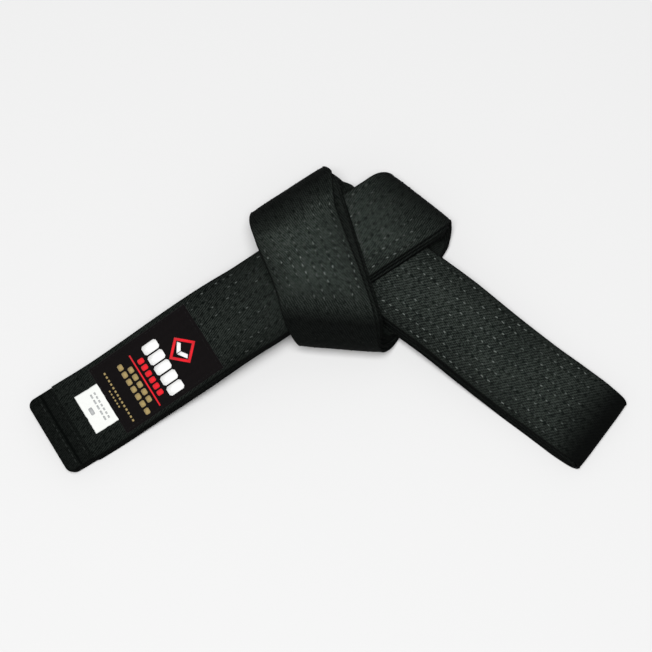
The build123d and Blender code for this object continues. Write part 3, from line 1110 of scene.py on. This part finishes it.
def plate(outline, top):
    """A thin flat shape on the label, from the (across, x) points of its outline."""
    across, x = np.array(outline, float).T
    points, uv = two_sided(across, x, top, top - mark_thickness)
    count = len(across)
    sides = tube_faces(2, count, caps=False)
    return points, [list(range(count)), list(range(count, 2 * count))[::-1], *sides], uv, {}


def bar(across_start, across_end, x_start, x_end, top):
    """A rectangular plate with clipped corners."""
    clip = corner_clip * min(abs(across_end - across_start), abs(x_end - x_start))
    return plate([
        (across_start + clip, x_start), (across_end - clip, x_start), (across_end, x_start + clip),
        (across_end, x_end - clip), (across_end - clip, x_end), (across_start + clip, x_end),
        (across_start, x_end - clip), (across_start, x_start + clip),
    ], top)


def bars(rows, edge_x, top):
    """The bars of each row of a table, on a patch that starts at a distance from the tail's root."""
    made = []
    for across_start, across_end, x_start, x_end, count, gap in rows:
        pitch = (across_end - across_start + gap) / count
        for index in range(count):
            start = across_start + index * pitch
            made.append(bar(start, start + pitch - gap, edge_x + x_start, edge_x + x_end, top))
    return made


def diamond_frame():
    """Four mitred bars round the label's diamond."""
    corners = [(0, -1), (1, 0), (0, 1), (-1, 0)]
    inner = diamond_radius - diamond_width
    x = label_start + diamond_middle
    return [
        plate([
            (a0 * diamond_radius, x + x0 * diamond_radius), (a1 * diamond_radius, x + x1 * diamond_radius),
            (a1 * inner, x + x1 * inner), (a0 * inner, x + x0 * inner),
        ], label_art_top)
        for (a0, x0), (a1, x1) in zip(corners, corners[1:] + corners[:1])
    ]


def label_wave(across, x):
    """The label follows the padded belt under it a little."""
    return 0.05 * np.sin(across * 2 * pi / row_spacing) + 0.06 * np.sin(x / 6.0 + across / 8.0)


def tab_wave(across, x):
    """The tab lies a little unevenly."""
    return 0.05 * np.sin(across / 3.0) + 0.04 * np.sin(x / 2.5)


def tail_stitches(across, x, direction, height, length, **size):
    """A row of stitches on the left tail. Their direction is a move across it and along it."""
    across, x = np.broadcast_arrays(across, x)
    centres = on_left_tail(across, x, height)
    ahead = on_left_tail(across + direction[0], x + direction[1], height)
    out = tail_run(left_tail, x, 1)[2]
    return stitch_mesh(centres, unit(ahead - centres), out, np.full(len(x), length), **size)


def label_border():
    """A row of small stitches along each border of the label."""
    half = label_half_width - label_stitch_inset
    x_ends = (label_start + label_stitch_inset, label_stop - label_stitch_inset)
    x = np.arange(*x_ends, label_stitch_pitch)
    across = np.arange(-half + label_stitch_pitch / 2, half, label_stitch_pitch)
    rows = [(side * half, x, (0, 1)) for side in (-1, 1)] + [(across, x_end, (1, 0)) for x_end in x_ends]
    top = label_top + label_stitch_rise
    return [tail_stitches(*row, top, label_stitch_length, width=0.35, thickness=0.25) for row in rows]


label = new_piece("woven_label_cloth", label_satin, "label_satin", cloth_patch(
    label_half_width, label_start, label_stop, label_top, label_bottom, 0.75, label_wave))
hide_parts("woven_label")
flashes = [
    plate([(side * across, label_start + x) for across, x in flash], label_art_top) for side in (-1, 1)
]
label_white, label_red, label_gold = (
    new_piece(name, material, "label_satin", *bars(rows, label_start, label_art_top), *others)
    for name, material, rows, others in (
        ("label_white_marks", white_weave, white_rows, flashes),
        ("label_red_marks", red_weave, red_rows, diamond_frame()),
        ("label_gold_marks", gold_weave, gold_rows, ()),
    )
)
tab = new_piece("size_tab_cloth", tab_satin, "size_tab", cloth_patch(
    tab_half_width, label_stop - tab_tuck, label_stop + tab_length, tab_top, tab_bottom, 0.6, tab_wave))
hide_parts("size_tab")
tab_grey = new_piece(
    "size_tab_marks", tab_print, "size_tab", *bars(tab_rows, label_stop, tab_art_top)
)

label_stitches = new_piece("label_stitches", label_thread, "label_thread", *label_border())
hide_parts("label_stitching")
hem_across = np.arange(-hem_row_reach, hem_row_reach, hem_stitch_pitch)
hem_stitches = new_piece("hem_stitches", hem_thread, "belt_thread", *[
    tail_stitches(hem_across, left_tail.length - from_end, (1, 0), 0.0, hem_stitch_length)
    for from_end in hem_rows_from_end
])
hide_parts("hem_stitching")

for piece in (label, label_white, label_red, label_gold, tab, tab_grey, label_stitches, hem_stitches):
    bends(piece, *flap_joint)


# --- Floor, light and camera ---

# Places and sizes in metres
floor_size = 12.0
floor_height = -0.0004
floor_colour = (0.57, 0.57, 0.57, 1)
sky_strength = 0.28
lamp_place = Vector((-0.1, -0.45, 2.5))
lamp_size = 1.0
lamp_power = 88.0
camera_elevation = radians(75.5)
camera_distance = 0.905
camera_aim = Vector((-0.0012, -0.0024, 0.010))
# The lens's length and the sensor's width, in millimetres
camera_lens = 100.0
camera_sensor = 36.0


def looking_along(name, data, place, direction):
    """A light or a camera at a place, turned to look in a direction."""
    made = bpy.data.objects.new(name, data)
    made.location = place
    made.rotation_euler = direction.to_track_quat("-Z", "Y").to_euler()
    bpy.context.scene.collection.objects.link(made)
    return made


bpy.ops.mesh.primitive_plane_add(size=floor_size, location=(0, 0, floor_height))
floor = bpy.context.object
floor.name = "floor"
paper = bpy.data.materials.new("pale_floor")
paper.use_nodes = True
paper.node_tree.nodes["Principled BSDF"].inputs["Base Color"].default_value = floor_colour
paper.node_tree.nodes["Principled BSDF"].inputs["Roughness"].default_value = 0.9
floor.data.materials.append(paper)

world = bpy.data.worlds.new("studio")
world.use_nodes = True
world.node_tree.nodes["Background"].inputs["Color"].default_value = (1, 1, 1, 1)
world.node_tree.nodes["Background"].inputs["Strength"].default_value = sky_strength
bpy.context.scene.world = world
bpy.context.scene.view_settings.view_transform = "Standard"
lamp = bpy.data.lights.new("overhead", "AREA")
lamp.shape = "SQUARE"
lamp.size = lamp_size
lamp.energy = lamp_power
looking_along("overhead", lamp, lamp_place, -lamp_place)

view = bpy.data.cameras.new("camera")
view.lens = camera_lens
view.sensor_width = camera_sensor
back = Vector((0.0, -cos(camera_elevation), sin(camera_elevation)))
bpy.context.scene.camera = looking_along("camera", view, camera_aim + back * camera_distance, -back)
